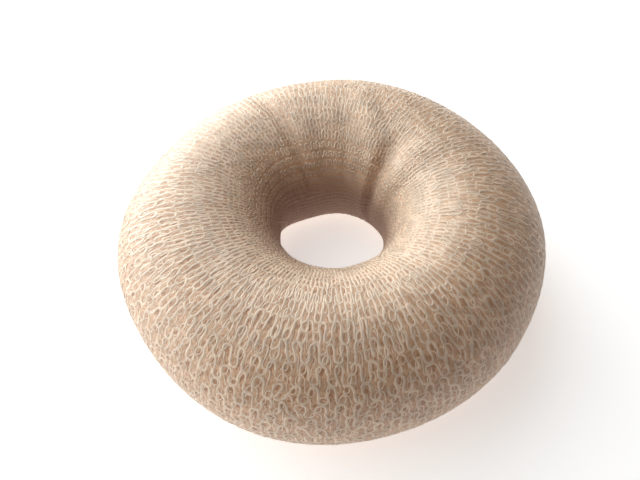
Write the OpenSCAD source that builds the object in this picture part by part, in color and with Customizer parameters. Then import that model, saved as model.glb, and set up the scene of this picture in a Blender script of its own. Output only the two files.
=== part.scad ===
// Hair donut: a knitted nylon net rolled into a soft ring that hair is wrapped round to make a bun.
// The ring lies flat on the plane z = 0, centred on the Z axis. The front of the ring is towards -Y.
// Angles round the ring are counted from +X, so the back of the ring is at 90 degrees.
// Angles round the roll are 0 on the outer rim, 90 on top, 180 in the hole and 270 underneath.

/* [Ring] */
// Diameter over the outer rim
ring_d = 90; // [80:1:115]
// Diameter of the hole at its narrowest
hole_d = 22; // [16:1:30]
// Height of the roll before it settles
roll_h = 31; // [26:0.5:36]
// How far the soft roll settles into a flat where it rests
settle = 0.6; // [0.3:0.1:1.5]

/* [Net sleeve] */
// Wall of the last turn of net, with its loops
sleeve_wall = 1.2; // [1:0.1:2]
// Clearance between the last turn and the winding under it
lay_gap = 0.4; // [0.3:0.1:0.8]
// Gap between the two long edges of the last turn
seam_gap = 0.8; // [0.4:0.1:2]
// Place of those edges round the roll, on the lower wall of the hole
seam_at = 226; // [205:1:240]

/* [Folds] */
// Depth of the deepest fold that pinches the roll
fold_depth = 2.1; // [1:0.1:4]

/* [Hidden] */

roll_w = (ring_d - hole_d) / 2;
ring_r = (ring_d + hole_d) / 4;
core_inset = sleeve_wall + lay_gap;
// Half the seam's gap as an angle round the roll
seam_half = seam_gap / roll_h * 180 / PI;

// Uneven outline of the hand-shaped ring, as shares of half the roll's width
// [angle round the ring, reach of the outer rim, reach into the hole]
OUTLINE = [
    [0, 0.05, -0.02],
    [36, 0.01, -0.01],
    [72, 0.04, -0.02],
    [108, -0.05, 0.03],
    [144, -0.04, -0.05],
    [180, 0.06, 0.01],
    [216, -0.02, 0.04],
    [252, 0.01, 0.05],
    [288, -0.03, 0.03],
    [324, -0.01, -0.03]
];

// Folds across the roll at the back of the ring, and the swellings beside them
// [angle round the ring where it starts, the same where it ends, half width, share of fold_depth,
//  start round the roll, end round the roll]
FOLDS = [
    [117, 112, 6, 0.45, 50, 170],
    [103, 103, 9, -0.1, 40, 170],
    [84, 72, 8, 0.12, 60, 170],
    [78, 52, 11, -0.25, 75, 145],
    [46, 43, 10, 0.65, 104, 200],
    [32, 25, 12, -0.25, 85, 190]
];

// Stretches of the ring and the cross sections drawn in each, closer together where the folds are
// [start angle, end angle, count of cross sections]
STRETCHES = [
    [14, 130, 40],
    [130, 374, 44]
];

STATIONS = [for (s = STRETCHES) for (k = [0:s[2] - 1]) s[0] + (s[1] - s[0]) * k / s[2]];

// Angles round the roll of the points on the skin, and of those on its lining and on the winding,
// from one edge of the seam all the way round to the other
SKIN = around(28);
LINING = around(18);

function around(n) = [for (k = [0:n - 1]) seam_at + seam_half + (360 - 2 * seam_half) * k / (n - 1)];

// A smooth step from 0 to 1
function ease(t) = (1 - cos(180 * t)) / 2;

// The angle brought between 0 and 360
function wrap(a) = a - 360 * floor(a / 360);

// Signed difference of two angles, between -180 and 180
function apart(a, b) = wrap(a - b + 180) - 180;

// A valley that is deepest at 0 and runs out softly at w on both sides
function valley(x, w) = abs(x) < w ? pow(1 - abs(x) / w, 2) * (1 + 2 * abs(x) / w) : 0;

// Runs in and out along a fold, from 0 at its start through 1 to 0 at its end
function window(t) = t <= 0 || t >= 1 ? 0 : pow(sin(180 * t), 0.7);

// A column of OUTLINE read at any angle round the ring
function reach(u, column) =
    let (
        a = wrap(u),
        n = len(OUTLINE),
        i = max([for (k = [0:n - 1]) if (OUTLINE[k][0] <= a) k]),
        j = (i + 1) % n,
        span = wrap(OUTLINE[j][0] - OUTLINE[i][0]),
        t = ease((a - OUTLINE[i][0]) / span)
    )
    OUTLINE[i][column] * (1 - t) + OUTLINE[j][column] * t;

// How deep one fold presses in at a place on the roll
function fold_at(u, v, fold) =
    let (
        along = (wrap(v) - fold[4]) / (fold[5] - fold[4]),
        middle = fold[0] + (fold[1] - fold[0]) * along
    )
    fold_depth * fold[3] * valley(apart(u, middle), fold[2]) * window(along);

// How deep all the folds press in there
function pressed(u, v, k = 0) = k == len(FOLDS) ? 0 : fold_at(u, v, FOLDS[k]) + pressed(u, v, k + 1);

// A point of the roll, inset under its outer surface
function roll_point(u, v, inset) =
    let (
        side = cos(v) >= 0 ? reach(u, 1) : reach(u, 2),
        under = inset + pressed(u, v),
        rho = ring_r + (roll_w / 2 * (1 + side) - under) * cos(v),
        z = roll_h / 2 - settle + (roll_h / 2 - under) * sin(v)
    )
    [rho * cos(u), rho * sin(u), max(inset, z)];

// Closed solid through rings of points, each ring the section at one station
function ring_faces(stations, points) = [
    for (s = [0:stations - 1])
        for (p = [0:points - 1])
            let (a = s * points, b = ((s + 1) % stations) * points, q = (p + 1) % points)
            for (f = [[a + p, b + p, b + q], [a + p, b + q, a + q]]) f
];

module swept(sections) {
    points = len(sections[0]);
    polyhedron([for (s = sections) for (p = s) p], ring_faces(len(sections), points));
}

// Section of the last turn: round its skin from one edge to the other, and back along its lining
function sleeve_section(u) = concat(
    [for (v = SKIN) roll_point(u, v, 0)],
    [for (k = [len(LINING) - 1:-1:0]) roll_point(u, LINING[k], sleeve_wall)]
);

// Section of the winding, with its points on the same angles as the lining over it
function core_section(u) = [for (v = LINING) roll_point(u, v, core_inset)];

// The inner turns of net, wound tightly into a thick ring
module wound_core() {
    color([0.62, 0.47, 0.37])
        swept([for (u = STATIONS) core_section(u)]);
}

// The last turn of net, drawn round the winding and open along its seam in the hole
module net_sleeve() {
    color([0.85, 0.74, 0.62])
        swept([for (u = STATIONS) sleeve_section(u)]);
}

wound_core();
net_sleeve();
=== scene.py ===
import math

import bpy
import numpy as np
from mathutils import Matrix, Vector


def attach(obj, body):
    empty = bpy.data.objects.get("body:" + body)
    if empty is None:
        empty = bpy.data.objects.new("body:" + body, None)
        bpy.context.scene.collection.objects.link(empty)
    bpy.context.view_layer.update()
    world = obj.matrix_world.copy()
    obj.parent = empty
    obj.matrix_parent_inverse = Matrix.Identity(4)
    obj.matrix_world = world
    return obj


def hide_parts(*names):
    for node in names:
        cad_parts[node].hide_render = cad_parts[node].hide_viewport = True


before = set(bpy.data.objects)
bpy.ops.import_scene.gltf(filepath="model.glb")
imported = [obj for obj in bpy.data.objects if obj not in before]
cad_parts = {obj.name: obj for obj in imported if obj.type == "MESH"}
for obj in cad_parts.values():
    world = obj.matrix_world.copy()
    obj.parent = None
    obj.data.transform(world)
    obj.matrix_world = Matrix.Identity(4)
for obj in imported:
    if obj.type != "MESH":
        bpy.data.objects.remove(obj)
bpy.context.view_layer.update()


# The wound core
# The inner turns of the net tube, rolled up tightly by hand into a thick ring. What shows of them
# between the loops over them is a dense mat of the same crimped nylon, deep in shade; its colour is
# painted a little darker than the yarn over it, as painted shade.

RING_D = 0.090
HOLE_D = 0.022
ROLL_H = 0.031
SETTLE = 0.0006
FOLD_DEPTH = 0.0021
SLEEVE_WALL = 0.0012
LAY_GAP = 0.0004
ROLL_W = (RING_D - HOLE_D) / 2
RING_R = (RING_D + HOLE_D) / 4

# Uneven outline of the hand-shaped ring, as shares of half the roll's width
# [angle round the ring, reach of the outer rim, reach into the hole]
OUTLINE = np.array([
    [0, 0.05, -0.02],
    [36, 0.01, -0.01],
    [72, 0.04, -0.02],
    [108, -0.05, 0.03],
    [144, -0.04, -0.05],
    [180, 0.06, 0.01],
    [216, -0.02, 0.04],
    [252, 0.01, 0.05],
    [288, -0.03, 0.03],
    [324, -0.01, -0.03],
])

# Folds across the roll at the back of the ring, and the swellings beside them
# [angle round the ring where it starts, the same where it ends, half width, share of FOLD_DEPTH,
#  start round the roll, end round the roll]
FOLDS = [
    [117, 112, 6, 0.45, 50, 170],
    [103, 103, 9, -0.1, 40, 170],
    [84, 72, 8, 0.12, 60, 170],
    [78, 52, 11, -0.25, 75, 145],
    [46, 43, 10, 0.65, 104, 200],
    [32, 25, 12, -0.25, 85, 190],
]
# Power that rounds how a fold runs in and out along its length
FOLD_RUN = 0.7


def reach(u, column):
    """How far the roll reaches past or short of its even width at an angle round the ring."""
    step = 360 / len(OUTLINE)
    place = (u % 360) / step
    row = np.floor(place).astype(int) % len(OUTLINE)
    ease = (1 - np.cos(np.pi * (place - np.floor(place)))) / 2
    here, there = OUTLINE[row, column], OUTLINE[(row + 1) % len(OUTLINE), column]
    return here * (1 - ease) + there * ease


def pressed(u, v):
    """How deep the folds press into the roll at a place on it."""
    depth = np.zeros(np.broadcast(u, v).shape)
    for start, end, half_width, share, low, high in FOLDS:
        along = np.clip((v % 360 - low) / (high - low), 0, 1)
        aside = np.abs((u - start - (end - start) * along + 180) % 360 - 180) / half_width
        valley = np.where(aside < 1, (1 - aside) ** 2 * (1 + 2 * aside), 0)
        depth += FOLD_DEPTH * share * valley * np.sin(np.pi * along) ** FOLD_RUN
    return depth


def on_roll(u, v, inset=0.0):
    """The point at angle u round the ring and v round the roll, inset under the ring's surface.

    Angles round the ring are counted from the right, so its front is at 270. Angles round the roll
    are 0 on the outer rim, 90 on top, 180 in the hole and 270 underneath.
    """
    a, b = np.radians(u), np.radians(v)
    side = np.where(np.cos(b) >= 0, reach(u, 1), reach(u, 2))
    under = inset + pressed(u, v)
    rho = RING_R + (ROLL_W / 2 * (1 + side) - under) * np.cos(b)
    z = ROLL_H / 2 - SETTLE + (ROLL_H / 2 - under) * np.sin(b)
    return np.stack([rho * np.cos(a), rho * np.sin(a), np.maximum(z, inset)], -1)


def closed_net(name, grids, places, material, slot, node, smooth=True):
    """A piece of skins that close on themselves both ways, such as tubes of yarn round the ring.

    The rows of each grid of points follow one another round the ring. The places of its points
    on the net go into the piece's UV map, with the heights of the whole piece brought to 0 to 1.
    """
    verts, quads, maps = [], [], []
    first = 0
    for grid, place in zip(grids, places):
        rows, columns = grid.shape[:2]
        row, column = np.meshgrid(np.arange(rows), np.arange(columns), indexing="ij")
        next_row, next_column = (row + 1) % rows, (column + 1) % columns
        corners = [(row, column), (next_row, column), (next_row, next_column), (row, next_column)]
        whole_turn = np.where(next_row == 0, 1.0, 0.0)
        across = [place[i, j, 0] + (whole_turn if i is next_row else 0) for i, j in corners]
        up = [place[i, j, 1] for i, j in corners]
        verts.append(grid.reshape(-1, 3))
        quads.append(np.stack([first + i * columns + j for i, j in corners], -1).reshape(-1, 4))
        maps.append(np.stack([np.stack(across, -1), np.stack(up, -1)], -1).reshape(-1, 4, 2))
        first += rows * columns
    verts, quads, maps = np.concatenate(verts), np.concatenate(quads), np.concatenate(maps)
    low, high = maps[..., 1].min(), maps[..., 1].max()
    maps[..., 1] = (maps[..., 1] - low) / (high - low)
    mesh = bpy.data.meshes.new(name)
    mesh.vertices.add(len(verts))
    mesh.vertices.foreach_set("co", verts.astype(np.float32).ravel())
    mesh.loops.add(quads.size)
    mesh.loops.foreach_set("vertex_index", quads.astype(np.int32).ravel())
    mesh.polygons.add(len(quads))
    mesh.polygons.foreach_set("loop_start", np.arange(0, quads.size, 4, dtype=np.int32))
    mesh.polygons.foreach_set("use_smooth", np.full(len(quads), smooth))
    layer = mesh.uv_layers.new(name="OFBake")
    layer.uv.foreach_set("vector", maps.astype(np.float32).ravel())
    mesh.update(calc_edges=True)
    mesh.validate()
    mesh.materials.append(material)
    piece = bpy.data.objects.new(name, mesh)
    bpy.context.scene.collection.objects.link(piece)
    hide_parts(node)
    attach(piece, "root")
    return piece


NYLON = np.array((0.765, 0.580, 0.424))
SHEEN_TINT = (1.0, 0.9, 0.78, 1.0)
BLOTCHES_PER_METRE = 420.0
FIBRES_PER_METRE = 2600.0
FIBRE_RELIEF = 0.00008


def grain(tree, per_metre, detail):
    """Noise that runs through the yarn, with so many grains in a metre."""
    where = tree.nodes.new("ShaderNodeTexCoord")
    noise = tree.nodes.new("ShaderNodeTexNoise")
    noise.inputs["Scale"].default_value = per_metre
    noise.inputs["Detail"].default_value = detail
    tree.links.new(where.outputs["Object"], noise.inputs["Vector"])
    return noise


def nylon(name, colour, sheen):
    """Crimped nylon yarn: matte, a little silky, blotched light and dark, with fine fibres across it."""
    material = bpy.data.materials.new(name)
    material.use_nodes = True
    tree = material.node_tree
    shader = tree.nodes["Principled BSDF"]
    shader.inputs["Roughness"].default_value = 0.45
    shader.inputs["Specular IOR Level"].default_value = 0.75
    shader.inputs["Sheen Weight"].default_value = sheen
    shader.inputs["Sheen Roughness"].default_value = 0.35
    shader.inputs["Sheen Tint"].default_value = SHEEN_TINT
    tone = tree.nodes.new("ShaderNodeValToRGB")
    dark, light = tone.color_ramp.elements
    dark.position, light.position = 0.42, 0.58
    dark.color = (*colour * 0.90, 1.0)
    light.color = (*colour * 1.08, 1.0)
    tree.links.new(grain(tree, BLOTCHES_PER_METRE, 3.0).outputs["Fac"], tone.inputs["Fac"])
    tree.links.new(tone.outputs["Color"], shader.inputs["Base Color"])
    bump = tree.nodes.new("ShaderNodeBump")
    bump.inputs["Strength"].default_value = 0.5
    bump.inputs["Distance"].default_value = FIBRE_RELIEF
    tree.links.new(grain(tree, FIBRES_PER_METRE, 2.0).outputs["Fac"], bump.inputs["Height"])
    tree.links.new(bump.outputs["Normal"], shader.inputs["Normal"])
    return material


CORE_ROUND_RING = 288
CORE_ROUND_ROLL = 96
CORE_INSET = SLEEVE_WALL + LAY_GAP

core_u, core_v = np.meshgrid(
    np.arange(CORE_ROUND_RING) * 360 / CORE_ROUND_RING,
    np.arange(CORE_ROUND_ROLL) * 360 / CORE_ROUND_ROLL,
    indexing="ij",
)
# The core's colour is the yarn's made a little darker: painted shade under the loops.
wound_core = closed_net(
    "wound_core_mat",
    [on_roll(core_u, core_v, CORE_INSET)],
    [np.stack([core_u / 360, core_v / 360], -1)],
    nylon("wound nylon net with painted shade", NYLON * 0.92, 0.1), "inner_net", "wound_core",
)


# The ground of the last turn
# The crimped filaments of the net lie flat and matted between its loops, drawn round the winding.
# Small sunk eyelets show in every stitch. The two long edges of the net meet low in the hole.
# Its colour is painted with shade: darker than the loops over it, and darker still in the eyelets, the
# gaps and the hole.

SEAM_AT = 226
SEAM_HALF = 1.5
WALES = 82
GROUND_DEPTH = 0.00030
TURN = 2 * math.pi
EYELET_DEPTH = 0.00006
EYELET_SUNK = 0.8

# The eyelets of a stitch, each sunk a little and painted with shade: one under its arch, one between
# its legs and one on each side of them
# [place across it in wales, place up it in courses, half width, half height, how deep it sinks and
#  how dark its painted shade is]
EYELETS = [
    [0.50, 0.70, 0.13, 0.17, 0.9],
    [0.50, 0.26, 0.08, 0.11, 0.7],
    [0.00, 0.30, 0.10, 0.14, 0.7],
    [1.00, 0.30, 0.10, 0.14, 0.7],
]

# How far apart the courses lie, as angles round the roll
# [angle round the roll, angle that one course takes there]
COURSE_PITCH = np.array([
    [-134, 10.0],
    [20, 9.5],
    [32, 10.5],
    [45, 12.5],
    [60, 13.0],
    [90, 13.0],
    [114, 13.0],
    [122, 7.5],
    [140, 5.5],
    [165, 4.2],
    [226, 4.2],
])

# How far the courses slipped round the roll when it was rolled
# [angle round the ring, angle round the roll that they slipped by there]
COURSE_SLIP = np.array([
    [0, 0],
    [20, 0],
    [60, -7],
    [100, -14],
    [125, -16],
    [150, -12],
    [180, -6],
    [195, -2.5],
    [215, 0],
    [360, 0],
])
# Angles round the roll between which the slip comes in under the rim and goes again in the hole
SLIP_COMES = [-40, 10]
SLIP_GOES = [125, 165]

# Angles round the roll from one long edge of the net to the other, and the courses counted up to each
COUNTED_AT = np.linspace(SEAM_AT - 360 + SEAM_HALF, SEAM_AT - SEAM_HALF, 2000)
pitch = np.interp(COUNTED_AT[1:], *COURSE_PITCH.T)
counted = np.concatenate([[0], np.cumsum(np.diff(COUNTED_AT) / pitch)])
COURSES = round(counted[-1])
counted *= COURSES / counted[-1]


def courses_up_to(angle):
    """The courses counted from the net's first edge up to an angle round the roll."""
    return np.interp(angle, COUNTED_AT, counted)


# Courses where the loops stop lying in a brick pattern and where they stand one above the other, and
# the wales that every other course is shifted by at each of the two
STAGGER_ENDS = courses_up_to([60, 108])
STAGGER = (0.5, 0.0)


def eased(x, table):
    """The second column of a table read at x in its first, with a soft run from row to row."""
    row = np.clip(np.searchsorted(table[:, 0], x, side="right") - 1, 0, len(table) - 2)
    part = np.clip((x - table[row, 0]) / (table[row + 1, 0] - table[row, 0]), 0, 1)
    part = (1 - np.cos(np.pi * part)) / 2
    return table[row, 1] * (1 - part) + table[row + 1, 1] * part


def slipped(u, v):
    """Angle round the roll where a course lies that would lie at v if none had slipped."""
    share = np.interp(v, SLIP_COMES + SLIP_GOES, [0, 1, 1, 0])
    return v + eased(u % 360, COURSE_SLIP) * share


def on_net(round_ring, course, depth):
    """The point at a share of the way round the ring and a count of courses, under the ring's surface."""
    u, v = round_ring * 360, np.interp(course, counted, COUNTED_AT)
    return on_roll(u, slipped(u, v), depth)


def shifted_by(courses):
    """Wales that the loops of one course are shifted by against those of the next."""
    return np.interp(courses, STAGGER_ENDS, STAGGER)


GROUND_PER_WALE = 4
GROUND_PER_COURSE = 4

# Rows of points over the face of the net, one of them through the middle of the eyelets, and back
# again over its inner side with one row to a course
face_rows = np.arange(COURSES * GROUND_PER_COURSE + 1) / GROUND_PER_COURSE
face_rows = np.clip(face_rows + EYELETS[0][1] - 3 / GROUND_PER_COURSE, 0, COURSES)
wales, courses = np.meshgrid(
    np.arange(WALES * GROUND_PER_WALE) / GROUND_PER_WALE,
    np.concatenate([face_rows, face_rows[::-GROUND_PER_COURSE]]),
    indexing="ij",
)
ground_depth = np.full(wales.shape, GROUND_DEPTH)
for across, up, half_width, half_height, dark in EYELETS:
    aside = (wales + shifted_by(courses) * (np.floor(courses) % 2)) % 1 - across
    away = np.hypot(aside / half_width, (courses % 1 - up) / half_height)
    ground_depth += EYELET_DEPTH * dark * (away < EYELET_SUNK)
ground_depth[:, len(face_rows):] = SLEEVE_WALL

# How dark the two bands of painted shade across each course are, against an eyelet's 1
ROW_SHADE = 0.3
# How ragged the edge of an eyelet is, and where it begins to fade and is gone, in half widths
RAGGED_PER_METRE = 800.0
RAGGED = 3.2
FADES_FROM, FADES_TO = 0.6, 1.6
# The fine gaps among the matted filaments, painted with shade: how many to a wale and a course, and
# how bent
GAPS_IN_STITCH = (3.4, 2.4, 0.0)
GAPS_BENT = (0.9, 0.9, 0.0)
# How far from the filaments a gap begins and is darkest, as shares of a gap, how far the filaments
# themselves reach, and how high they stand against the fibres
GAP_FROM, GAP_TO = 0.2, 0.5
FILAMENT_FROM, FILAMENT_TO = 0.02, 0.16
FILAMENT_RELIEF = 0.8
# Angles round the roll between which the gaps close up as the net crowds together, and what is left
CLOSES_FROM, CLOSES_TO, CLOSED = 120, 145, 0.15
# Share of the way round the ring where the gaps' painted shade is lightest, on its right and back
# where the light meets the net head-on, and how dark the gaps' painted shade is on average and how
# much more or less it is at the ring's two sides
PALE_GAPS_SIDE = 0.139
GAPS_DARK = 0.64
GAPS_SWING = 0.48
# Angles round the roll between which the net's colour turns to painted shade in the hole, and the
# courses by which it does so sooner where the gaps' painted shade is dark and later where it is pale
HOLE_SHADE_FROM, HOLE_SHADE_TO = 144, 168
SOONER = 6.5
LATER = 3.2


def number_step(tree, kind, *values):
    """One sum in a material, of values that are each a number or another step's result."""
    step = tree.nodes.new("ShaderNodeMath")
    step.operation = kind
    for socket, value in zip(step.inputs, values):
        if isinstance(value, (int, float)):
            socket.default_value = value
        else:
            tree.links.new(value, socket)
    return step.outputs["Value"]


def vector_step(tree, kind, *values):
    """One sum of vectors in a material, each three numbers or another step's result."""
    step = tree.nodes.new("ShaderNodeVectorMath")
    step.operation = kind
    for socket, value in zip(step.inputs, values):
        if isinstance(value, tuple):
            socket.default_value = value
        else:
            tree.links.new(value, socket)
    return step.outputs["Value" if kind in ("LENGTH", "DOT_PRODUCT") else "Vector"]


def run_step(tree, value, start, end, first, last, soft=False):
    """A value that runs from first to last while another one runs from start to end."""
    step = tree.nodes.new("ShaderNodeMapRange")
    step.interpolation_type = "SMOOTHSTEP" if soft else "LINEAR"
    step.inputs["From Min"].default_value = float(start)
    step.inputs["From Max"].default_value = float(end)
    step.inputs["To Min"].default_value = first
    step.inputs["To Max"].default_value = last
    tree.links.new(value, step.inputs["Value"])
    return step.outputs["Result"]


def tinted(tree, share, colour):
    """Mixes a share of another colour into a material's base colour."""
    base = tree.nodes["Principled BSDF"].inputs["Base Color"]
    tone = base.links[0].from_socket
    mix = tree.nodes.new("ShaderNodeMix")
    mix.data_type = "RGBA"
    mix.inputs["B"].default_value = (*colour, 1.0)
    tree.links.new(share, mix.inputs["Factor"])
    tree.links.new(tone, mix.inputs["A"])
    tree.links.new(mix.outputs["Result"], base)


def eyelet_shade(tree, wale, course, ragged):
    """How dark the painted shade is in the ragged eyelets of each stitch, and in the bands between their
    rows.
    """
    shifted = run_step(tree, course, *STAGGER_ENDS, *STAGGER)
    odd = number_step(tree, "MODULO", number_step(tree, "FLOOR", course), 2)
    staggered = tree.nodes.new("ShaderNodeCombineXYZ")
    aside = number_step(tree, "ADD", wale, number_step(tree, "MULTIPLY", odd, shifted))
    tree.links.new(aside, staggered.inputs["X"])
    tree.links.new(course, staggered.inputs["Y"])
    within = vector_step(tree, "FRACTION", staggered.outputs["Vector"])
    swing = number_step(tree, "MULTIPLY", ragged.outputs["Fac"], RAGGED)
    bands = number_step(tree, "SINE", number_step(tree, "MULTIPLY", course, 2 * TURN))
    shade = number_step(tree, "MULTIPLY", bands, -ROW_SHADE)
    for across, up, half_width, half_height, dark in EYELETS:
        centred = vector_step(tree, "SUBTRACT", within, (across, up, 0))
        scaled = vector_step(tree, "DIVIDE", centred, (half_width, half_height, 1))
        away = number_step(tree, "ADD", vector_step(tree, "LENGTH", scaled), swing)
        spot = run_step(tree, away, FADES_FROM + RAGGED / 2, FADES_TO + RAGGED / 2, dark, 0.0, soft=True)
        shade = number_step(tree, "MAXIMUM", spot, shade)
    return shade


def filaments(tree, stitches, ragged):
    """Distance of a place on the ground from the nearest of the bent filaments that mat it."""
    finer = vector_step(tree, "MULTIPLY", stitches, GAPS_IN_STITCH)
    bent = vector_step(tree, "MULTIPLY_ADD", ragged.outputs["Color"], GAPS_BENT, finer)
    cells = tree.nodes.new("ShaderNodeTexVoronoi")
    cells.voronoi_dimensions = "2D"
    cells.feature = "DISTANCE_TO_EDGE"
    cells.inputs["Scale"].default_value = 1.0
    cells.inputs["Randomness"].default_value = 0.9
    tree.links.new(bent, cells.inputs["Vector"])
    return cells.outputs["Distance"]


def paint_ground_shade(material, gap_shade_colour, hole_shade_colour):
    """Paints shade into the ground's eyelets and fine gaps, and deeper shade on it in the hole."""
    tree = material.node_tree
    place = tree.nodes.new("ShaderNodeUVMap")
    place.uv_map = "OFBake"
    stitches = vector_step(tree, "MULTIPLY", place.outputs["UV"], (WALES, COURSES, 0))
    parts = tree.nodes.new("ShaderNodeSeparateXYZ")
    tree.links.new(stitches, parts.inputs["Vector"])
    wale, course = parts.outputs["X"], parts.outputs["Y"]
    ragged = grain(tree, RAGGED_PER_METRE, 2.0)
    distance = filaments(tree, stitches, ragged)
    gap = run_step(tree, distance, GAP_FROM, GAP_TO, 0.0, 1.0, soft=True)
    dark = number_step(tree, "MAXIMUM", gap, eyelet_shade(tree, wale, course, ragged))
    closing = run_step(tree, course, courses_up_to(CLOSES_FROM), courses_up_to(CLOSES_TO), 1.0, CLOSED)
    dark = number_step(tree, "MULTIPLY", dark, closing)
    # Painted shade in the gaps: lighter where the light meets the net head-on, darker where it grazes
    turned = number_step(tree, "MULTIPLY_ADD", wale, TURN / WALES, -TURN * PALE_GAPS_SIDE)
    toward_pale_gaps = number_step(tree, "COSINE", turned)
    gap_shade_by_side = number_step(tree, "MULTIPLY_ADD", toward_pale_gaps, -GAPS_SWING, GAPS_DARK)
    tinted(tree, number_step(tree, "MULTIPLY", dark, gap_shade_by_side), gap_shade_colour)
    # Painted shade low in the hole, reaching higher where the gaps are painted darker
    sooner = number_step(tree, "MULTIPLY_ADD", gap_shade_by_side, SOONER, -LATER)
    height = number_step(tree, "ADD", course, sooner)
    hole_shade = run_step(tree, height, courses_up_to(HOLE_SHADE_FROM), courses_up_to(HOLE_SHADE_TO), 0.0, 1.0)
    tinted(tree, hole_shade, hole_shade_colour)
    relief = tree.nodes["Bump"].inputs["Height"]
    thread = run_step(tree, distance, FILAMENT_FROM, FILAMENT_TO, 1.0, 0.0, soft=True)
    raised = number_step(tree, "MULTIPLY_ADD", thread, FILAMENT_RELIEF, relief.links[0].from_socket)
    tree.links.new(raised, relief)


# The ground is the loops' nylon painted darker and warmer, as painted shade between the loops.
shaded_ground_nylon = nylon("matted nylon ground with painted shade", NYLON * (0.93, 0.775, 0.665), 0.35)
# Painted shade: the eyelets and gaps turn a deep warm brown, and the ground darker still low in the hole.
paint_ground_shade(shaded_ground_nylon, NYLON * (0.62, 0.41, 0.30), NYLON * (0.42, 0.32, 0.31))
closed_net(
    "net_ground",
    [on_net(wales / WALES, courses, ground_depth)],
    [np.stack([wales / WALES, courses / COURSES], -1)],
    shaded_ground_nylon, "outer_net", "net_sleeve",
)


# The loops of the last turn
# Open weft-knitted loops of crimped nylon, drawn wide over the rim and crowded together in the hole.
# Each loop is held by the ones before and after it, leans and drifts a little, and sinks at its feet.

# How far a loop bulges to its sides, as a share of a wale
LOOP_BELLY = 0.12
# About how far the yarn's crimps take it up or down and to its sides, and its stitches up or down
CRIMP = 0.000007
WANDER = 0.00003
SINKING = 0.000018

# Spread of the loops' height, as a share of it, of their lean and drift in wales, and of the yarn's
# thickness, as a share of it
TALL_SPREAD = 0.12
LEAN_SPREAD = 0.09
DRIFT_SPREAD = 0.07
THICK_SPREAD = 0.22

# How the loops change round the roll
# [angle round the roll, reach of a loop in courses, half the yarn's width in mm, half its height in mm,
#  how far in mm the yarn's middle stands over the ground at the arch, at the legs and at the feet,
#  share of half a wale that every other course is shifted by]
LOOPS = np.array([
    [-134, 0.50, 0.25, 0.05, -0.005, -0.008, -0.014, 1.0],
    [60, 0.50, 0.25, 0.05, -0.005, -0.008, -0.014, 1.0],
    [85, 0.54, 0.22, 0.05, -0.005, -0.008, -0.014, 0.5],
    [108, 0.54, 0.20, 0.05, -0.005, -0.008, -0.014, 0.0],
    [128, 0.50, 0.20, 0.05, -0.005, -0.008, -0.014, 0.0],
    [142, 0.30, 0.24, 0.10, 0.0, 0.0, 0.0, 0.0],
    [226, 0.12, 0.28, 0.16, 0.0, 0.0, 0.0, 0.0],
])


def along_stitches(values, t):
    """Random values, one for each stitch of a course, run smoothly from stitch to stitch."""
    place = t / TURN
    k = np.floor(place).astype(int)
    ease = (1 - np.cos(np.pi * (place - k))) / 2
    return values[k % len(values)] * (1 - ease) + values[(k + 1) % len(values)] * ease


def unit(vectors):
    """The same directions, all brought to one length."""
    return vectors / np.linalg.norm(vectors, axis=-1, keepdims=True)


def knitted_course(number, stout, segments, sides, rng):
    """One course of knitted loops round the ring, as a closed tube of yarn, and its place on the net."""
    t = np.arange(WALES * segments) * TURN / segments
    v = np.interp(number + 0.5, counted, COUNTED_AT)
    at = [np.interp(v, LOOPS[:, 0], column) for column in LOOPS.T[1:]]
    tall, wide, high, arch, leg, foot, shift = at
    tall = tall * (1 + along_stitches(rng.normal(0, TALL_SPREAD, WALES), t))
    lean = along_stitches(rng.normal(0, LEAN_SPREAD, WALES), t)
    drift = along_stitches(rng.normal(0, DRIFT_SPREAD, WALES), t) + 0.5 * (number % 2) * shift
    sunk = SINKING * along_stitches(rng.normal(0, 1, 3 * WALES), 3 * t)
    crimp = rng.normal(0, 1, (3, len(t)))
    wale = t / TURN + LOOP_BELLY * np.sin(2 * t) + lean * np.cos(t) + drift
    row = number + 0.5 - tall * np.cos(t)
    raised = np.where(np.cos(t) < 0, arch, foot) * np.abs(np.cos(t)) + leg * np.sin(t) ** 2
    depth = GROUND_DEPTH - raised / 1000 + sunk + CRIMP * crimp[0]
    kept_row = np.clip(row, 0, COURSES)
    centre = on_net(wale / WALES, kept_row, depth)
    outward = unit(on_net(wale / WALES, kept_row, depth - 0.001) - centre)
    ahead = unit(np.roll(centre, -1, 0) - np.roll(centre, 1, 0))
    aside = unit(np.cross(ahead, outward))
    outward = np.cross(aside, ahead)
    centre = centre + WANDER * crimp[1][:, None] * aside
    thick = stout / 1000 * (1 + THICK_SPREAD * crimp[2])[:, None, None]
    side = (np.arange(sides) * TURN / sides)[None, :, None]
    round_yarn = high * np.cos(side) * outward[:, None] + wide * np.sin(side) * aside[:, None]
    place = np.stack([wale / WALES, row / COURSES], -1)[:, None].repeat(sides, 1)
    return centre[:, None] + thick * round_yarn, place


def paint_shade_below(material, colour, top, bottom, slant):
    """Paints shade: runs a yarn's colour softly into a deeper one between two heights, lower on the
    right.
    """
    tree = material.node_tree
    where = tree.nodes.new("ShaderNodeTexCoord")
    height = vector_step(tree, "DOT_PRODUCT", where.outputs["Object"], (slant, 0.0, 1.0))
    tinted(tree, run_step(tree, height, top, bottom, 0.0, 1.0), colour)


# The loops are the ground's nylon painted paler, as painted light on the strands that stand in it.
lit_outer_nylon = nylon("outer nylon net painted light", NYLON * (1.08, 1.09, 1.12), 0.5)
# In the hole the loops are painted a little less pale, and painted shade darkens them towards the bottom.
hole_shaded_nylon = nylon("nylon net in the hole with painted shade", NYLON * 1.04, 0.3)
paint_shade_below(hole_shaded_nylon, NYLON * (0.58, 0.49, 0.48), top=0.026, bottom=0.019, slant=0.12)

# Over the rim and the top, the loops of the turn under this one show between its own: finer loops
# all round the ring, half a course on
LOWER_FROM, LOWER_TO = -60, 130
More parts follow.
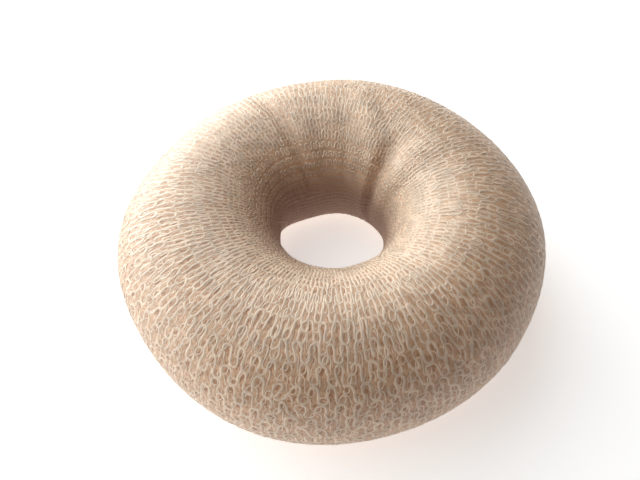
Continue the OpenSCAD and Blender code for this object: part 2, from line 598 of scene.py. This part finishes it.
# Angles round the roll between which their yarn grows stouter, as a share of the yarn over it
LOWER_GROWS = [40, 75]
LOWER_STOUT = [0.5, 0.8]
LOWER_SEGMENTS = 14
LOWER_SIDES = 4
lower_rng = np.random.default_rng(11)
lower_numbers = range(*np.round(courses_up_to([LOWER_FROM, LOWER_TO])).astype(int))
lower_stout = np.interp(np.arange(lower_numbers.stop), courses_up_to(LOWER_GROWS), LOWER_STOUT)
lower_made = [
    knitted_course(number + 0.5, lower_stout[number], LOWER_SEGMENTS, LOWER_SIDES, lower_rng)
    for number in lower_numbers
]
closed_net("lower_net", *zip(*lower_made), lit_outer_nylon, "outer_net", "net_sleeve", smooth=False)

# Bands of the net round the roll, from its first edge on
# [name, angle round the roll where the band ends, segments of a loop, sides of the yarn]
BANDS = [
    ["net_underside", -50, 16, 5],
    ["net_rim", 50, 16, 5],
    ["net_top", 125, 16, 5],
    ["net_hole_wall", 230, 12, 4],
]
first = 0
for seed, (name, end, segments, sides) in enumerate(BANDS, 20):
    last = round(courses_up_to(end))
    rng = np.random.default_rng(seed)
    made = [knitted_course(number, 1.0, segments, sides, rng) for number in range(first, last)]
    yarn = hole_shaded_nylon if name == "net_hole_wall" else lit_outer_nylon
    closed_net(name, *zip(*made), yarn, "outer_net", "net_sleeve", smooth=False)
    first = last


# Floor, light and camera
# A plain pale floor that glows a little, two low windows and a soft ceiling to the left and behind,
# a small lamp close behind, and a weak warm light from all round.

FLOOR_HALF = 1.5
FLOOR_COLOUR = (0.9, 0.9, 0.89, 1.0)
FLOOR_GLOW = 0.52
WARM_AIR = (1.0, 0.62, 0.5, 1.0)
WARM_AIR_STRENGTH = 0.08
DAYLIGHT = (0.93, 1.0, 1.01)

floor_mesh = bpy.data.meshes.new("floor")
floor_mesh.from_pydata(
    [(x * FLOOR_HALF, y * FLOOR_HALF, 0) for x, y in ((-1, -1), (1, -1), (1, 1), (-1, 1))],
    [], [(0, 1, 2, 3)],
)
floor = bpy.data.objects.new("floor", floor_mesh)
bpy.context.scene.collection.objects.link(floor)
pale = bpy.data.materials.new("pale floor")
pale.use_nodes = True
pale_shader = pale.node_tree.nodes["Principled BSDF"]
pale_shader.inputs["Base Color"].default_value = FLOOR_COLOUR
pale_shader.inputs["Roughness"].default_value = 0.9
pale_shader.inputs["Emission Color"].default_value = (1.0, 1.0, 1.0, 1.0)
pale_shader.inputs["Emission Strength"].default_value = FLOOR_GLOW
floor_mesh.materials.append(pale)

world = bpy.data.worlds.new("even light")
bpy.context.scene.world = world
world.use_nodes = True
world.node_tree.nodes["Background"].inputs["Color"].default_value = WARM_AIR
world.node_tree.nodes["Background"].inputs["Strength"].default_value = WARM_AIR_STRENGTH

# Soft panels of daylight that look at the ring
# [name, angle round the ring, angle over the floor, distance, width, height, watts]
PANELS = [
    ["window to the left", 180, 12, 0.7, 0.6, 0.25, 2.2],
    ["window behind to the left", 130, 9, 0.7, 0.6, 0.25, 4.1],
    ["ceiling to the left", 165, 57, 0.7, 0.8, 0.8, 2.9],
    ["lamp close behind", 102, 42, 0.3, 0.25, 0.25, 0.37],
]
for name, azimuth, elevation, distance, width, height, watts in PANELS:
    a, e = math.radians(azimuth), math.radians(elevation)
    lamp = bpy.data.lights.new(name, "AREA")
    lamp.shape = "RECTANGLE"
    lamp.size = width
    lamp.size_y = height
    lamp.energy = watts
    lamp.color = DAYLIGHT
    holder = bpy.data.objects.new(name, lamp)
    towards = Vector((math.cos(a) * math.cos(e), math.sin(a) * math.cos(e), math.sin(e)))
    holder.location = towards * distance
    holder.rotation_euler = (-towards).to_track_quat("-Z", "Y").to_euler()
    bpy.context.scene.collection.objects.link(holder)

CAMERA_ELEVATION = 53.4
CAMERA_DISTANCE = 0.1431
CAMERA_ROLL = -0.035
AIM_HEIGHT = 0.015
AIM_RIGHT = -0.00234
AIM_UP = -0.00029
LENS = 36.9

tilt = math.radians(CAMERA_ELEVATION)
back = Vector((0, -math.cos(tilt), math.sin(tilt)))
level = Vector((1, 0, 0))
rise = Vector((0, math.sin(tilt), math.cos(tilt)))
right = math.cos(CAMERA_ROLL) * level + math.sin(CAMERA_ROLL) * rise
upward = math.cos(CAMERA_ROLL) * rise - math.sin(CAMERA_ROLL) * level
aim = Vector((0, 0, AIM_HEIGHT)) + AIM_RIGHT * right + AIM_UP * upward
camera = bpy.data.objects.new("camera", bpy.data.cameras.new("camera"))
camera.data.lens = LENS
camera.data.sensor_width = 36.0
camera.data.clip_start = 0.005
turned = Matrix((right, upward, back)).transposed().to_4x4()
camera.matrix_world = Matrix.Translation(aim + back * CAMERA_DISTANCE) @ turned
bpy.context.scene.collection.objects.link(camera)
bpy.context.scene.camera = camera
bpy.context.scene.view_settings.view_transform = "Standard"
